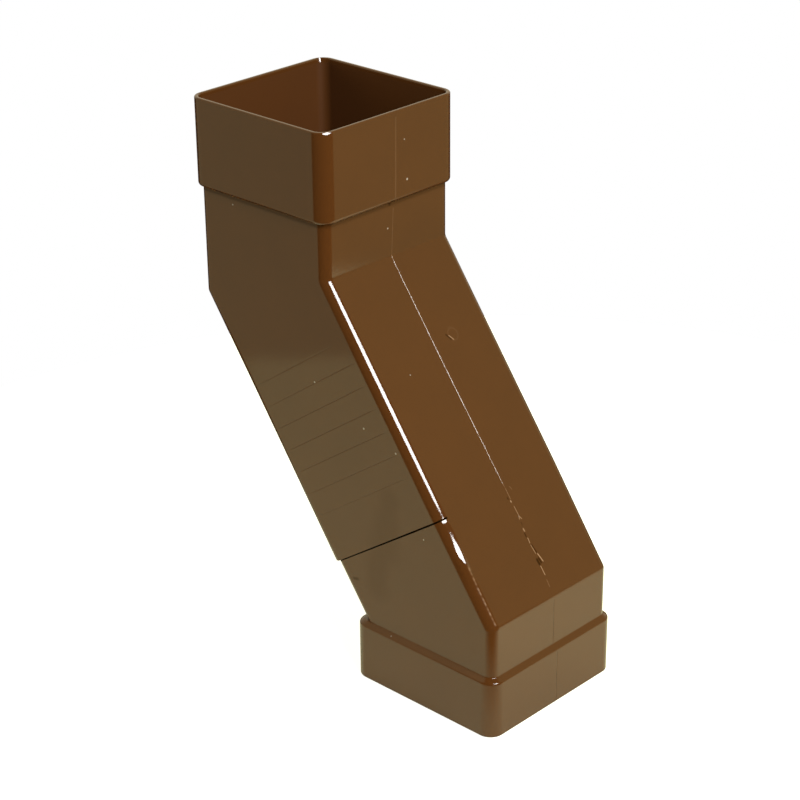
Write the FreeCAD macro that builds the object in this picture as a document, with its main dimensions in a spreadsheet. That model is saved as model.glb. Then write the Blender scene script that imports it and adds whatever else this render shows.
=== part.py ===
import FreeCAD, Part
import Sketcher
import math
import os

V = FreeCAD.Vector

# An offset fitting of a square downpipe: two hollow mouldings cemented into one another.
# The origin is the centre of the bottom socket's mouth, +Z runs up the pipe, the upper
# pipe stands off towards -X and the front of the slant faces +X.

# Driving dimensions, in millimetres and degrees.
DIMENSIONS = (
    ("pipe_side", "80", "outside of the square pipe that both sockets take"),
    ("tube_extra", "0.4", "necks and sleeve over the pipe's own outside"),
    ("tube_corner", "4.6", "outer corner radius of the necks and the sleeve"),
    ("wall", "2", "wall of both mouldings"),
    ("offset", "98.5", "between the axes of the upper and the lower pipe"),
    ("tilt", "35.7", "slant of the sleeve away from upright, degrees"),
    ("top_gap", "0.5", "room between the pipe and the top socket, each side"),
    ("top_height", "42", "top socket, from its shoulder to its rim"),
    ("upper_neck", "39.1", "from the top socket's shoulder down to the upper bend point"),
    ("bottom_gap", "0.75", "room between the pipe and the bottom socket, each side"),
    ("bottom_height", "29.5", "bottom socket, from its mouth to its shoulder"),
    ("lower_neck", "12", "from the bottom socket's shoulder up to the lower bend point"),
    ("sleeve_length", "128.3", "from the upper bend point along the slant to the seam"),
    ("seam_gap", "0.8", "open seam at the sides and the back of the sleeve's end"),
    ("spigot_length", "32", "part of the lower bend that lies inside the sleeve"),
    ("spigot_gap", "0.15", "cement film between the spigot and the sleeve"),
    ("bend_extra", "0.4", "rounding of the outer side of each bend over the corner radius"),
    ("hollow_bend", "2", "rounding of the inner side of each bend"),
    ("top_shelf", "0.5", "flat left round the neck under the top shoulder's rounding"),
    ("shoulder_shelf", "0.15", "flat left round the neck above the bottom shoulder's slope"),
    ("shoulder_fall", "36", "fall of that slope below level, degrees"),
    ("shoulder_edge", "1.3", "rounding between that slope and the socket's sides"),
    ("rim_edge", "0.7", "rounding of both sockets' rims"),
    ("mark_first", "38.3", "from the upper bend point along the slant to the first cut mark"),
    ("mark_pitch", "11.1", "between two cut marks on the sleeve's side"),
    ("mark_count", "7", "number of cut marks"),
    ("mark_length", "65", "length of a cut mark across the side"),
    ("mark_width", "0.4", "width of a cut mark"),
    ("mark_depth", "0.15", "depth of a cut mark"),
)

# What follows from them.
DERIVED = (
    ("tube_side", "=pipe_side + tube_extra"),
    ("tube_half", "=tube_side / 2"),
    ("convex_bend", "=tube_corner + bend_extra"),
    ("bore_half", "=tube_half - wall"),
    ("spigot_half", "=bore_half - spigot_gap"),
    ("spigot_side", "=2 * spigot_half"),
    ("spigot_corner", "=tube_corner - wall - spigot_gap"),
    ("channel_half", "=spigot_half - wall"),
    ("top_side", "=pipe_side + 2 * top_gap + 2 * wall"),
    ("top_corner", "=tube_corner + (top_side - tube_side) / 2"),
    ("bottom_side", "=pipe_side + 2 * bottom_gap + 2 * wall"),
    ("bottom_corner", "=tube_corner + (bottom_side - tube_side) / 2"),
    ("bottom_bore", "=bottom_side - 2 * wall"),
    ("bottom_inner", "=bottom_corner - wall"),
    ("ledge_height", "=bottom_height - wall"),
    ("low_bend_height", "=bottom_height + lower_neck"),
    ("high_bend_height", "=low_bend_height + offset / tan(tilt * 1deg)"),
    ("shoulder_height", "=high_bend_height + upper_neck"),
    ("rim_height", "=shoulder_height + top_height"),
    ("sleeve_end", "=sleeve_length - seam_gap"),
    ("leg_length", "=offset / sin(tilt * 1deg) - sleeve_length"),
    ("lip_half", "=tube_half - tube_corner"),
    ("top_edge", "=(top_side - tube_side) / 2 - top_shelf"),
    ("shoulder_slope", "=(bottom_side - tube_side) / 2 - shoulder_shelf"),
    ("shoulder_drop", "=shoulder_slope * tan(shoulder_fall * 1deg)"),
)

doc = FreeCAD.newDocument("downspout_elbow")
sheet = doc.addObject("Spreadsheet::Sheet", "Sheet")
for row, entry in enumerate(DIMENSIONS + DERIVED, start=1):
    sheet.set("A%d" % row, entry[0])
    sheet.set("B%d" % row, entry[1])
    sheet.setAlias("B%d" % row, entry[0])
    if len(entry) > 2:
        sheet.set("C%d" % row, entry[2])
    doc.recompute()


def size(alias):
    """A size of the sheet as a plain number."""
    number = sheet.get(alias)
    return float(getattr(number, "Value", number))


TILT = math.radians(size("tilt"))
DOWN = V(math.sin(TILT), -math.cos(TILT), 0)
FRONT = V(math.cos(TILT), math.sin(TILT), 0)
HIGH = V(-size("offset"), size("high_bend_height"), 0)
LOW = V(0, size("low_bend_height"), 0)


def meet(x, across, start):
    """Where the upright line at x meets the slanted line that lies across the axis from start."""
    base = start + FRONT * across
    return base + DOWN * ((x - base.x) / DOWN.x)


def checked(feature):
    """The feature, once it is worked out and found sound."""
    doc.recompute()
    if "Invalid" in feature.State or "Error" in feature.State:
        raise RuntimeError(feature.Name + " failed")
    if feature.Shape.isNull() or not feature.Shape.isValid():
        raise RuntimeError(feature.Name + " has no sound shape")
    return feature


def new_body(name):
    body = doc.addObject("PartDesign::Body", name)
    body.Label = name
    return body


def new_sketch(body, name, role):
    """A sketch on the plane of the body's own origin that has this role."""
    sketch = body.newObject("Sketcher::SketchObject", name)
    found = [item for item in body.Origin.OriginFeatures if item.Role == role]
    sketch.AttachmentSupport = [(found[0], "")]
    sketch.MapMode = "FlatFace"
    return sketch


def drive(sketch, name, kind, places, alias, factor=""):
    """A named dimension of a sketch, bound to a size of the sheet."""
    start = size(alias) / 2 if factor else size(alias)
    index = sketch.addConstraint(Sketcher.Constraint(kind, *places, start))
    sketch.renameConstraint(index, name)
    sketch.setExpression("Constraints." + name, "Sheet." + alias + factor)


def relate(sketch, kind, *places):
    sketch.addConstraint(Sketcher.Constraint(kind, *places))


def ring(sketch, points):
    """A closed ring of lines: line i starts at point i."""
    last = len(points)
    for i in range(last):
        sketch.addGeometry(Part.LineSegment(points[i], points[(i + 1) % last]), False)
    for i in range(last):
        relate(sketch, "Coincident", i, 2, (i + 1) % last, 1)
    return last


def slant(sketch, axis, bend, alias):
    """The slant's axis as construction line number axis, from a bend point to a sheet length."""
    sign = 1 if bend is HIGH else -1
    sketch.addGeometry(Part.LineSegment(bend, bend + DOWN * (sign * size(alias))), True)
    if bend is HIGH:
        drive(sketch, "bend_x", "DistanceX", (axis, 1, -1, 1), "offset")
        drive(sketch, "bend_z", "DistanceY", (-1, 1, axis, 1), "high_bend_height")
        order = (axis, 2, axis, 1)
    else:
        relate(sketch, "PointOnObject", axis, 1, -2)
        drive(sketch, "bend_z", "DistanceY", (-1, 1, axis, 1), "low_bend_height")
        order = (axis, 1, axis, 2)
    drive(sketch, "reach", "Distance", (axis,), alias)
    rise = sketch.addConstraint(Sketcher.Constraint("DistanceY", *order, size(alias) * math.cos(TILT)))
    sketch.renameConstraint(rise, "rise")
    sketch.setExpression("Constraints.rise", "Sheet." + alias + " * cos(Sheet.tilt * 1deg)")


def rounded_square(sketch, side, corner):
    """A square with rounded corners about the sketch's origin, by two sizes of the sheet."""
    half = size(side) / 2
    r = size(corner)
    flat = half - r
    ends = ((-flat, -half), (half, -flat), (flat, half), (-half, flat))
    stops = ((flat, -half), (half, flat), (-flat, half), (-half, -flat))
    centres = ((flat, -flat), (flat, flat), (-flat, flat), (-flat, -flat))
    for a, b in zip(ends, stops):
        sketch.addGeometry(Part.LineSegment(V(a[0], a[1], 0), V(b[0], b[1], 0)), False)
    for i, c in enumerate(centres):
        circle = Part.Circle(V(c[0], c[1], 0), V(0, 0, 1), r)
        turn = math.pi / 2 * (i - 1)
        sketch.addGeometry(Part.ArcOfCircle(circle, turn, turn + math.pi / 2), False)
    for i in range(4):
        relate(sketch, "Tangent", i, 2, 4 + i, 1)
        relate(sketch, "Tangent", 4 + i, 2, (i + 1) % 4, 1)
    relate(sketch, "Horizontal", 0)
    relate(sketch, "Vertical", 1)
    relate(sketch, "Horizontal", 2)
    relate(sketch, "Vertical", 3)
    for i in (5, 6, 7):
        relate(sketch, "Equal", 4, i)
    relate(sketch, "Symmetric", 4, 3, 6, 3, -1, 1)
    drive(sketch, "width", "DistanceX", (3, 1, 1, 1), side)
    drive(sketch, "depth", "DistanceY", (0, 1, 2, 1), side)
    drive(sketch, "corner", "Radius", (4,), corner)


def solved(sketch):
    doc.recompute()
    if sketch.solve() != 0 or not sketch.FullyConstrained:
        raise RuntimeError(sketch.Name + " is not fully held")
    return sketch


def pad(body, sketch, length, both=False):
    feature = body.newObject("PartDesign::Pad", sketch.Name + "_pad")
    feature.Profile = solved(sketch)
    if both:
        feature.SideType = "Symmetric"
    feature.setExpression("Length", "Sheet." + length)
    return checked(feature)


def pocket(body, sketch, length, both=False, turned=False):
    """A pocket that has to take material away."""
    before = body.Shape.Volume
    feature = body.newObject("PartDesign::Pocket", sketch.Name + "_pocket")
    feature.Profile = solved(sketch)
    if both:
        feature.SideType = "Symmetric"
    feature.Reversed = turned
    feature.setExpression("Length", length)
    checked(feature)
    if feature.Shape.Volume > before - 1:
        raise RuntimeError(feature.Name + " takes nothing away")
    return feature


def edges_where(shape, test):
    return ["Edge%d" % (i + 1) for i, edge in enumerate(shape.Edges) if test(edge)]


def fillet(body, name, base, test, alias):
    names = edges_where(base.Shape, test)
    if not names:
        raise RuntimeError(name + " finds no edge")
    feature = body.newObject("PartDesign::Fillet", name)
    feature.Base = (base, names)
    feature.setExpression("Radius", "Sheet." + alias)
    return checked(feature)


def near(a, b):
    return abs(a - b) < 0.001


def at_point(edge, point):
    """Whether an edge crosses from side to side at a point of the side profile."""
    return all(near(v.X, point.x) and near(v.Z, point.y) for v in edge.Vertexes)


def on_side(edge, half, stops):
    """Whether an edge lies in a side face and does not lie in one of the end planes."""
    points = [edge.valueAt(edge.FirstParameter), edge.valueAt(edge.LastParameter), edge.CenterOfMass]
    if not all(near(abs(p.y), half) for p in points):
        return False
    return not any(all(near(stop(p), 0) for p in points) for stop in stops)


def level(height):
    return lambda p: p.z - height


def across(bend, along):
    """The plane square to the slant at a distance down it from a bend point."""
    return lambda p: (p.x - bend.x) * DOWN.x + (p.z - bend.y) * DOWN.y - along


def outer_loop(edge, height, centre_x, limit):
    """Whether an edge lies at a height and reaches further out than a limit."""
    points = edge.Vertexes
    if not all(near(v.Z, height) for v in points):
        return False
    return max(max(abs(v.X - centre_x), abs(v.Y)) for v in points) > limit


# The upper bend: top socket, neck, bend and slanted sleeve.
upper = new_body("upper_bend")
half = size("tube_half")

# Side profile of the neck and the sleeve, mitred at the bend.
profile = new_sketch(upper, "upper_profile", "XZ_Plane")
neck_left = V(HIGH.x - half, size("shoulder_height"), 0)
neck_right = V(HIGH.x + half, size("shoulder_height"), 0)
front_bend = meet(HIGH.x + half, half, HIGH)
back_bend = meet(HIGH.x - half, -half, HIGH)
end = HIGH + DOWN * size("sleeve_end")
ring(profile, [neck_left, neck_right, front_bend, end + FRONT * half, end - FRONT * half, back_bend])
slant(profile, 6, HIGH, "sleeve_end")
relate(profile, "Horizontal", 0)
relate(profile, "Vertical", 1)
relate(profile, "Vertical", 5)
relate(profile, "Parallel", 2, 6)
relate(profile, "Parallel", 4, 6)
relate(profile, "Perpendicular", 3, 6)
relate(profile, "Symmetric", 3, 1, 3, 2, 6, 2)
drive(profile, "sleeve_width", "Distance", (3,), "tube_side")
drive(profile, "neck_width", "DistanceX", (0, 1, 0, 2), "tube_side")
drive(profile, "neck_place", "DistanceX", (0, 1, 6, 1), "tube_half")
drive(profile, "neck_top", "DistanceY", (-1, 1, 0, 1), "shoulder_height")
tube = pad(upper, profile, "tube_side", both=True)
tube = fillet(upper, "upper_back_bend", tube, lambda e: at_point(e, back_bend), "convex_bend")
tube = fillet(upper, "upper_front_bend", tube, lambda e: at_point(e, front_bend), "hollow_bend")
ends = (level(size("shoulder_height")), across(HIGH, size("sleeve_end")))
tube = fillet(upper, "upper_corners", tube, lambda e: on_side(e, half, ends), "tube_corner")

# The top socket stands on the neck, and one wall thickness runs through both.
mouth = new_sketch(upper, "top_socket", "XY_Plane")
mouth.setExpression("AttachmentOffset.Base.x", "-Sheet.offset")
mouth.setExpression("AttachmentOffset.Base.z", "Sheet.shoulder_height")
rounded_square(mouth, "top_side", "top_corner")
socket = pad(upper, mouth, "top_height")
rim = size("rim_height")
open_faces = []
for i, face in enumerate(socket.Shape.Faces):
    centre = face.CenterOfMass
    if near(centre.z, rim) or near(across(HIGH, size("sleeve_end"))(centre), 0):
        open_faces.append("Face%d" % (i + 1))
shell = upper.newObject("PartDesign::Thickness", "upper_wall")
shell.Base = (socket, open_faces)
shell.Reversed = True
shell.Join = 1
shell.setExpression("Value", "Sheet.wall")
checked(shell)
shoulder = size("shoulder_height")
limit = (size("top_side") + size("tube_side")) / 4
body_now = fillet(
    upper,
    "top_shoulder",
    shell,
    lambda e: outer_loop(e, shoulder, HIGH.x, limit),
    "top_edge",
)
body_now = fillet(upper, "top_rim", body_now, lambda e: outer_loop(e, rim, HIGH.x, 0), "rim_edge")

# The sleeve's front wall ends in a lip that meets the lower bend's shoulder. It runs on round
# the right front corner.
lip = new_sketch(upper, "front_lip", "XY_Plane")
lip.AttachmentOffset = FreeCAD.Placement(V(0, 0, 0), FreeCAD.Rotation(V(0, 1, 0), -size("tilt")))
lip.setExpression("AttachmentOffset.Rotation.Angle", "-Sheet.tilt")
lip.setExpression("AttachmentOffset.Base.x", "Sheet.sleeve_length * sin(Sheet.tilt * 1deg) - Sheet.offset")
lip.setExpression(
    "AttachmentOffset.Base.z",
    "Sheet.high_bend_height - Sheet.sleeve_length * cos(Sheet.tilt * 1deg)",
)
inner = size("bore_half")
flat = size("lip_half")
lines = (
    (V(half, -flat, 0), V(half, flat, 0)),
    (V(flat, half, 0), V(flat, inner, 0)),
    (V(inner, flat, 0), V(inner, -flat, 0)),
    (V(inner, -flat, 0), V(half, -flat, 0)),
)
for first, last in lines:
    lip.addGeometry(Part.LineSegment(first, last), False)
for reach in (half, inner):
    circle = Part.Circle(V(flat, flat, 0), V(0, 0, 1), reach - flat)
    lip.addGeometry(Part.ArcOfCircle(circle, 0, math.pi / 2), False)
relate(lip, "Tangent", 0, 2, 4, 1)
relate(lip, "Coincident", 4, 2, 1, 1)
relate(lip, "Coincident", 1, 2, 5, 2)
relate(lip, "Tangent", 2, 1, 5, 1)
relate(lip, "Coincident", 2, 2, 3, 1)
relate(lip, "Coincident", 3, 2, 0, 1)
relate(lip, "Coincident", 4, 3, 5, 3)
relate(lip, "PointOnObject", 4, 3, 1)
relate(lip, "Vertical", 0)
relate(lip, "Vertical", 1)
relate(lip, "Vertical", 2)
relate(lip, "Horizontal", 3)
drive(lip, "outside", "DistanceX", (-1, 1, 0, 1), "tube_half")
drive(lip, "inside", "DistanceX", (-1, 1, 2, 2), "bore_half")
drive(lip, "corner", "Radius", (4,), "tube_corner")
drive(lip, "right", "DistanceY", (-1, 1, 4, 3), "lip_half")
drive(lip, "left", "DistanceY", (0, 1, -1, 1), "lip_half")
pad(upper, lip, "seam_gap")

# Cut marks across the left side of the sleeve, from its end upwards.
mark = new_sketch(upper, "cut_mark", "XZ_Plane")
mark.setExpression("AttachmentOffset.Base.z", "Sheet.tube_half")
centre = HIGH + DOWN * size("mark_first")
reach = FRONT * (size("mark_length") / 2)
thick = DOWN * (size("mark_width") / 2)
ring(mark, [centre - reach - thick, centre + reach - thick, centre + reach + thick, centre - reach + thick])
slant(mark, 4, HIGH, "mark_first")
relate(mark, "Perpendicular", 0, 4)
relate(mark, "Parallel", 1, 4)
relate(mark, "Parallel", 3, 4)
relate(mark, "Perpendicular", 2, 4)
relate(mark, "Symmetric", 0, 1, 2, 1, 4, 2)
drive(mark, "length", "Distance", (0,), "mark_length")
drive(mark, "width", "Distance", (1,), "mark_width")
groove = pocket(upper, mark, "Sheet.mark_depth")
marks = upper.newObject("PartDesign::LinearPattern", "cut_marks")
marks.Originals = [groove]
marks.Direction = (mark, ["Axis0"])
marks.setExpression("Occurrences", "Sheet.mark_count")
marks.setExpression("Length", "Sheet.mark_pitch * (Sheet.mark_count - 1)")
upper.Tip = marks
checked(marks)

# The lower bend: spigot, slanted leg, bend, neck and bottom socket.
lower = new_body("lower_bend")
back = size("spigot_half")

# Side profile of the leg and the neck, which runs down into the socket: the front is flush
# with the sleeve, and the back runs straight up into it as the back of the spigot.
profile = new_sketch(lower, "lower_profile", "XZ_Plane")
seam = LOW - DOWN * size("leg_length")
foot = size("bottom_height")
front_bend = meet(half, half, LOW)
back_bend = meet(-back, -back, LOW)
ring(
    profile,
    [seam - FRONT * back, seam + FRONT * half, front_bend, V(half, 0, 0), V(-back, 0, 0), back_bend],
)
slant(profile, 6, LOW, "leg_length")
relate(profile, "Perpendicular", 0, 6)
relate(profile, "PointOnObject", 6, 2, 0)
relate(profile, "Parallel", 1, 6)
relate(profile, "Vertical", 2)
relate(profile, "Horizontal", 3)
relate(profile, "Vertical", 4)
relate(profile, "Parallel", 5, 6)
drive(profile, "leg_back", "Distance", (6, 2, 0, 1), "spigot_half")
drive(profile, "leg_front", "Distance", (6, 2, 0, 2), "tube_half")
drive(profile, "neck_front", "DistanceX", (-1, 1, 3, 1), "tube_half")
drive(profile, "neck_back", "DistanceX", (3, 2, -1, 1), "spigot_half")
relate(profile, "PointOnObject", 3, 1, -1)
leg = pad(lower, profile, "tube_side", both=True)
leg = fillet(lower, "lower_front_bend", leg, lambda e: at_point(e, front_bend), "convex_bend")
leg = fillet(lower, "lower_back_bend", leg, lambda e: at_point(e, back_bend), "hollow_bend")
ends = (level(0), across(LOW, -size("leg_length")))
leg = fillet(lower, "lower_corners", leg, lambda e: on_side(e, half, ends), "tube_corner")

# The bottom socket.
mouth = new_sketch(lower, "bottom_socket", "XY_Plane")
rounded_square(mouth, "bottom_side", "bottom_corner")
body_now = pad(lower, mouth, "bottom_height")
limit = (size("bottom_side") + size("tube_side")) / 4
slope = lower.newObject("PartDesign::Chamfer", "bottom_shoulder")
slope.Base = (body_now, edges_where(body_now.Shape, lambda e: outer_loop(e, foot, 0, limit)))
slope.ChamferType = "Distance and Angle"
slope.setExpression("Size", "Sheet.shoulder_slope")
slope.setExpression("Angle", "Sheet.shoulder_fall")
checked(slope)
slope_foot = foot - size("shoulder_drop")
fillet(lower, "bottom_edge", slope, lambda e: outer_loop(e, slope_foot, 0, limit), "shoulder_edge")

# The spigot, square to the slant, fits the sleeve's bore.
spigot = new_sketch(lower, "spigot", "XY_Plane")
spigot.AttachmentOffset = FreeCAD.Placement(V(0, 0, 0), FreeCAD.Rotation(V(0, 1, 0), -size("tilt")))
spigot.setExpression("AttachmentOffset.Rotation.Angle", "-Sheet.tilt")
spigot.setExpression("AttachmentOffset.Base.x", "-Sheet.leg_length * sin(Sheet.tilt * 1deg)")
spigot.setExpression(
    "AttachmentOffset.Base.z",
    "Sheet.low_bend_height + Sheet.leg_length * cos(Sheet.tilt * 1deg)",
)
rounded_square(spigot, "spigot_side", "spigot_corner")
pad(lower, spigot, "spigot_length")

# The channel through the spigot and the leg, down to the mitre of the bend.
channel = new_sketch(lower, "channel", "XZ_Plane")
way = size("channel_half")
bore = size("bore_half")
mitre_front = meet(bore, way, LOW)
mitre_back = meet(-way, -way, LOW)
top = LOW - DOWN * (size("leg_length") + size("spigot_length"))
ring(channel, [top - FRONT * way, top + FRONT * way, mitre_front, mitre_back])
slant(channel, 4, LOW, "leg_length")
relate(channel, "Perpendicular", 0, 4)
relate(channel, "Parallel", 1, 4)
relate(channel, "Parallel", 3, 4)
drive(channel, "front", "Distance", (4, 2, 1), "channel_half")
drive(channel, "back", "Distance", (4, 2, 3), "channel_half")
drive(channel, "past", "Distance", (4, 2, 0), "spigot_length")
drive(channel, "mitre_front", "DistanceX", (-1, 1, 2, 1), "bore_half")
drive(channel, "mitre_back", "DistanceX", (2, 2, -1, 1), "channel_half")
pocket(lower, channel, "Sheet.channel_half * 2", both=True)

# The channel through the neck, from the mitre down into the socket.
throat = new_sketch(lower, "throat", "XZ_Plane")
low = size("ledge_height") - size("wall")
ring(throat, [mitre_back, mitre_front, V(bore, low, 0), V(-way, low, 0)])
slant(throat, 4, LOW, "leg_length")
relate(throat, "Vertical", 1)
relate(throat, "Horizontal", 2)
relate(throat, "Vertical", 3)
drive(throat, "front", "DistanceX", (-1, 1, 2, 1), "bore_half")
drive(throat, "back", "DistanceX", (2, 2, -1, 1), "channel_half")
drive(throat, "mitre_front", "Distance", (0, 2, 4), "channel_half")
drive(throat, "mitre_back", "Distance", (0, 1, 4), "channel_half")
floor = throat.addConstraint(Sketcher.Constraint("DistanceY", -1, 1, 2, 1, low))
throat.renameConstraint(floor, "floor")
throat.setExpression("Constraints.floor", "Sheet.ledge_height - Sheet.wall")
pocket(lower, throat, "Sheet.bore_half * 2", both=True)

# The pipe's place in the bottom socket, up to the ledge that it stops against.
place = new_sketch(lower, "pipe_place", "XY_Plane")
rounded_square(place, "bottom_bore", "bottom_inner")
body_now = pocket(lower, place, "Sheet.ledge_height", turned=True)
fillet(lower, "bottom_rim", body_now, lambda e: outer_loop(e, 0, 0, 0), "rim_edge")

doc.recompute()
for item in doc.Objects:
    if "Invalid" in item.State or "Error" in item.State:
        raise RuntimeError(item.Name + " failed")
nodes = (upper, lower)
for node in nodes:
    if node.Shape.isNull() or not node.Shape.isValid() or len(node.Shape.Solids) != 1:
        raise RuntimeError(node.Label + " is not one sound solid")
os.makedirs("parts", exist_ok=True)
for node in nodes:
    node.Shape.exportStep(os.path.join("parts", node.Label + ".step"))
    print(node.Label, round(node.Shape.Volume), "mm3")
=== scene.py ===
"""Offset fitting of a square downpipe: two glossy brown mouldings, cemented into one another."""
import math

import bpy
import numpy as np
from mathutils import Matrix


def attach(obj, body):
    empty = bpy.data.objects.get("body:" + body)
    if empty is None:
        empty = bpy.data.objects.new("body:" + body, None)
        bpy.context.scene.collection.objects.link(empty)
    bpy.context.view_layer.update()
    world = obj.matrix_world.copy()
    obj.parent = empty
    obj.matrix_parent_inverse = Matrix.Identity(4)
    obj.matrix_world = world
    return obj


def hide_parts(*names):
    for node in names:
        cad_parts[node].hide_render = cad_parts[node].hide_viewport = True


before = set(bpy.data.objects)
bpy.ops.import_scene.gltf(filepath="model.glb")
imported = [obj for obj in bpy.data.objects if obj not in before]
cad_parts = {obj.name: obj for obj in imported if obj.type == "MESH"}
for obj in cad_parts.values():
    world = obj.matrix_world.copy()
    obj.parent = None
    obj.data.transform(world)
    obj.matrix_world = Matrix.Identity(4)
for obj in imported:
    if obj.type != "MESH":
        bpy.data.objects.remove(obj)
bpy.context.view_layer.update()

bl_info = {
    "name": "Square downpipe offset",
    "version": (1, 0, 0),
    "blender": (4, 5, 0),
    "location": "3D View > Sidebar > Downpipe",
    "description": "Builds the two mouldings of a square downpipe offset and its stage",
    "category": "Add Mesh",
}

MM = 0.001


def length(name, description, default):
    """A length property, given in millimetres."""
    return bpy.props.FloatProperty(
        name=name, description=description, default=default * MM, unit="LENGTH", precision=5
    )


def colour(name, description, default):
    """A colour property without alpha."""
    return bpy.props.FloatVectorProperty(
        name=name, description=description, default=default,
        subtype="COLOR", size=3, min=0.0, max=1.0,
    )


def share(name, description, default):
    """A plain number from nought to one."""
    return bpy.props.FloatProperty(
        name=name, description=description, default=default, min=0.0, max=1.0, precision=3
    )


class DownpipeSizes(bpy.types.PropertyGroup):
    """Sizes of both mouldings."""

    tube_side: length("Tube side", "Outside of the necks and of the slanted sleeve", 80.4)
    tube_corner: length("Tube corner", "Outer corner radius of necks and sleeve", 4.6)
    wall: length("Wall", "Wall of both mouldings", 2.0)
    offset: length("Offset", "Between the axes of the upper and the lower pipe", 98.5)
    tilt: bpy.props.FloatProperty(
        name="Tilt",
        description="Slant of the sleeve away from upright",
        default=math.radians(35.7),
        subtype="ANGLE",
    )
    top_side: length("Top side", "Outside of the top socket", 85.0)
    top_height: length("Top height", "Top socket, from its shoulder to its rim", 42.0)
    upper_neck: length("Upper neck", "From the top socket's shoulder to the upper bend", 39.1)
    bottom_side: length("Bottom side", "Outside of the bottom socket", 85.5)
    bottom_height: length("Bottom height", "Bottom socket, from its mouth to its shoulder", 29.5)
    lower_neck: length("Lower neck", "From the bottom socket's shoulder to the lower bend", 12.0)
    sleeve_length: length("Sleeve length", "From the upper bend along the slant to the seam", 128.3)
    seam_gap: length("Seam gap", "Open seam at the sides and the back of the sleeve's end", 0.8)
    spigot_length: length("Spigot length", "Part of the lower moulding inside the sleeve", 32.0)
    spigot_gap: length("Spigot gap", "Cement film between spigot and sleeve", 0.15)
    upper_convex: length("Upper convex bend", "Rounding of the upper bend's outer side", 5.0)
    lower_convex: length("Lower convex bend", "Rounding of the lower bend's outer side", 4.0)
    hollow_bend: length("Hollow bend", "Rounding of the inner side of each bend", 2.0)
    top_edge: length("Top shoulder edge", "Rounding under the top socket's shoulder", 1.8)
    shoulder_shelf: length("Shoulder shelf", "Flat between the neck and the shoulder's slope", 0.15)
    shoulder_fall: bpy.props.FloatProperty(
        name="Shoulder fall",
        description="Fall of the bottom shoulder's slope below level",
        default=math.radians(36.0),
        subtype="ANGLE",
    )
    shoulder_root: length("Shoulder root", "Hollow rounding between the neck and that slope", 0.7)
    shoulder_edge: length("Shoulder edge", "Rounding between slope and socket", 1.3)
    rim_edge: length("Rim edge", "Rounding of both sockets' rims", 0.7)
    mark_first: length("First mark", "From the upper bend to the first cut mark", 38.3)
    mark_pitch: length("Mark pitch", "Between two cut marks", 11.1)
    mark_depth: length("Mark depth", "Depth of a cut mark", 0.09)
    flare: length("Flare", "Swelling of the cemented lap on each side, largest at the seam", 0.34)
    seam_skew: share("Seam skew", "Slope of the seam and the marks across the side", 0.0155)


class DownpipeFinish(bpy.types.PropertyGroup):
    """Colours and gloss of the plastic."""

    brown: colour("Brown", "Body colour of the plastic", (0.098, 0.033, 0.0068))
    dust: colour("Dust", "Colour of the fine dust specks", (0.62, 0.55, 0.45))
    # Also the colour of the painted highlights on the parting lines, at the gate, on the chips and
    # on the worn corner.
    scuff_and_glint: colour("Scuff", "Colour of the plastic where it is torn or rubbed", (0.42, 0.25, 0.13))
    # Also the colour of the painted shade in the seam, under the top shoulder and inside, and of
    # the painted dark reflection beside the seam.
    dirt_and_shade: colour("Dirt", "Colour of the dirt in gaps and smudges", (0.032, 0.014, 0.003))
    roughness: share("Roughness", "Roughness of the moulded gloss", 0.07)


class DownpipeStage(bpy.types.PropertyGroup):
    """Floor and light."""

    floor: colour("Floor", "Colour of the pale sheet under the fitting", (0.90, 0.90, 0.60))
    # The sheen is a painted reflection: the sheet glows with it for glossy rays only.
    sheen: colour("Sheen", "Colour that the sheet adds to what the gloss shows", (1.0, 1.0, 0.60))
    room: colour("Room", "Colour of the paler room on the left", (0.50, 0.50, 0.31))
    room_right: colour("Room right", "Colour of the paler room on the right", (0.38, 0.39, 0.20))
    backdrop: colour("Backdrop", "Colour of the bright sheet far behind it", (1.0, 0.90, 0.64))
    gloom: colour("Gloom", "Colour of the dark room before it", (0.03, 0.03, 0.025))
    key_power: bpy.props.FloatProperty(
        name="Key power", description="Power of the large soft lamp", default=11.4, unit="POWER"
    )
    fill_power: bpy.props.FloatProperty(
        name="Fill power", description="Power of the low lamp", default=2.25, unit="POWER"
    )


class Values:
    """The sizes in millimetres, and angles and slopes as they are, with what follows from them."""

    PLAIN = ("tilt", "shoulder_fall", "seam_skew")

    def __init__(self, sizes):
        for key in sizes.__annotations__:
            unit = 1 if key in self.PLAIN else MM
            setattr(self, key, getattr(sizes, key) / unit)
        self.half = self.tube_side / 2
        self.core = self.half - self.tube_corner
        self.bore = self.half - self.wall
        self.spigot = self.bore - self.spigot_gap
        self.channel = self.spigot - self.wall
        self.low = self.bottom_height + self.lower_neck
        self.high = self.low + self.offset / math.tan(self.tilt)
        self.shoulder = self.high + self.upper_neck
        self.rim = self.shoulder + self.top_height
        self.slant = self.offset / math.sin(self.tilt)
        self.lean = math.tan(self.tilt / 2)
        self.sin, self.cos = math.sin(self.tilt), math.cos(self.tilt)


# Rows and columns of the skins.

CORNER_STEPS = 20
SIDE_END = 0.997  # where a side's columns end, as a share of its half length
SHARP_ANGLE = math.radians(38)  # edges that turn by more than this stay sharp
MARKS = ("grime_and_shade", "scuff_and_glint", "matte")


def rows(*numbers):
    """Numbers as a column, one for each row of points."""
    return np.asarray(numbers, float)[:, None]


def quarter(steps):
    """Angles of a quarter turn, as a column."""
    return np.linspace(0, np.pi / 2, steps + 1)[:, None]


def bump(x, width):
    """A smooth hill of height 1 that falls to nought at one width either way."""
    return np.clip(1 - (x / width) ** 2, 0, None) ** 2


def ease(x, low, high):
    """A smooth step from 0 to 1 between two ends."""
    part = np.clip((x - low) / (high - low), 0, 1)
    return part * part * (3 - 2 * part)


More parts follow.
